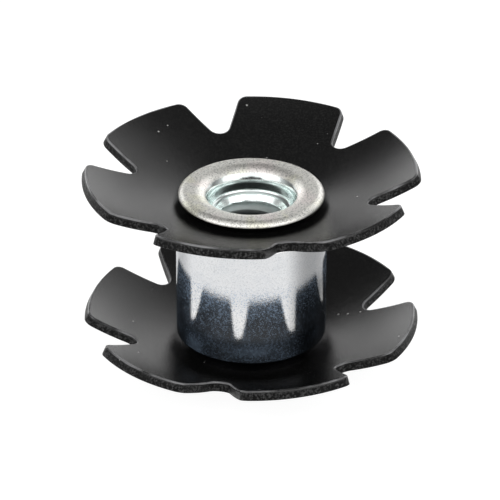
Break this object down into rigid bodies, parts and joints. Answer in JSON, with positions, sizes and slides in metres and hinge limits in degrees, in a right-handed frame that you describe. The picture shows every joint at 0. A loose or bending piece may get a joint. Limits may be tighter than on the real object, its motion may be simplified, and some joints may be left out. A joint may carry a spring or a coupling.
{
  "type": "star nut",
  "caption": "Star nut: dished star washers riveted on a tapped barrel, driven into a tube so that a bolt can pull against it.",
  "frame": {"origin": "on the thread axis, at the foot of the lower lip, which is the lowest face and the middle of the bounding box", "axes": "+Z along the thread axis, towards the side that the petals curl up to, which is the side the bolt comes from; +X through the middle of a petal of the upper washer"},
  "size_m": [0.0256, 0.0256, 0.0162],
  "materials": {
    "zinc_plate": "bright zinc plate over turned steel",
    "black_spring_steel": "glossy black over spring steel"
  },
  "bodies": {
    "root": {"threaded_barrel": "zinc_plate", "upper_star_washer": "black_spring_steel", "lower_star_washer": "black_spring_steel"}
  },
  "joints": []
}
